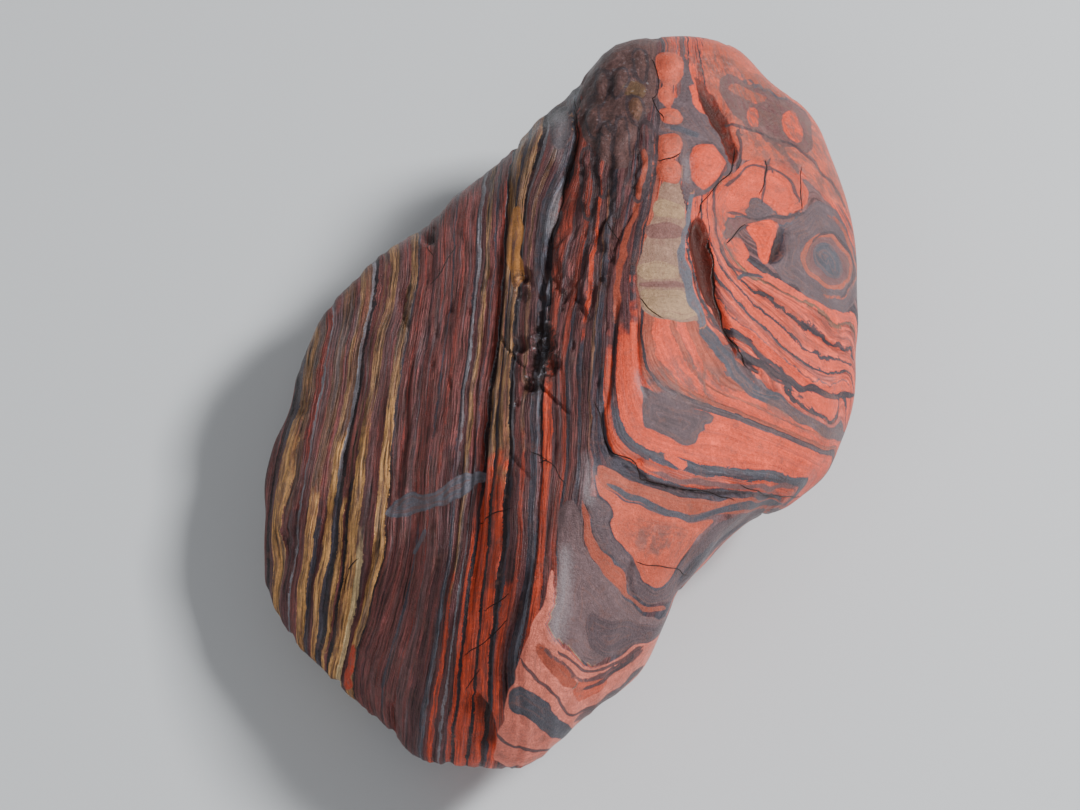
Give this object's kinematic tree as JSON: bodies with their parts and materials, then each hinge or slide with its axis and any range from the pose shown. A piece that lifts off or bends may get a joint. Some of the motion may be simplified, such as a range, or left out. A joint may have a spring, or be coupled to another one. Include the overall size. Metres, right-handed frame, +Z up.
{
  "type": "banded ironstone",
  "caption": "Water-worn cobble of banded ironstone with a blunt ridge, layered furrows, gashes and ledges, resting on a small flat spot.",
  "frame": {"origin": "on the small flat spot that the stone rests on, under the stone's middle", "axes": "+Z up from the resting flat; +Y along the stone's length, towards its broad head; +X towards the red jasper side, with the striped side towards -X"},
  "size_m": [0.1092, 0.1402, 0.0593],
  "materials": {
    "stone": "water-worn, waxy iron-rich stone banded in dark maroon, jasper red, grey iron oxide and gold"
  },
  "bodies": {
    "root": {"banded_ironstone": "stone"}
  },
  "joints": []
}
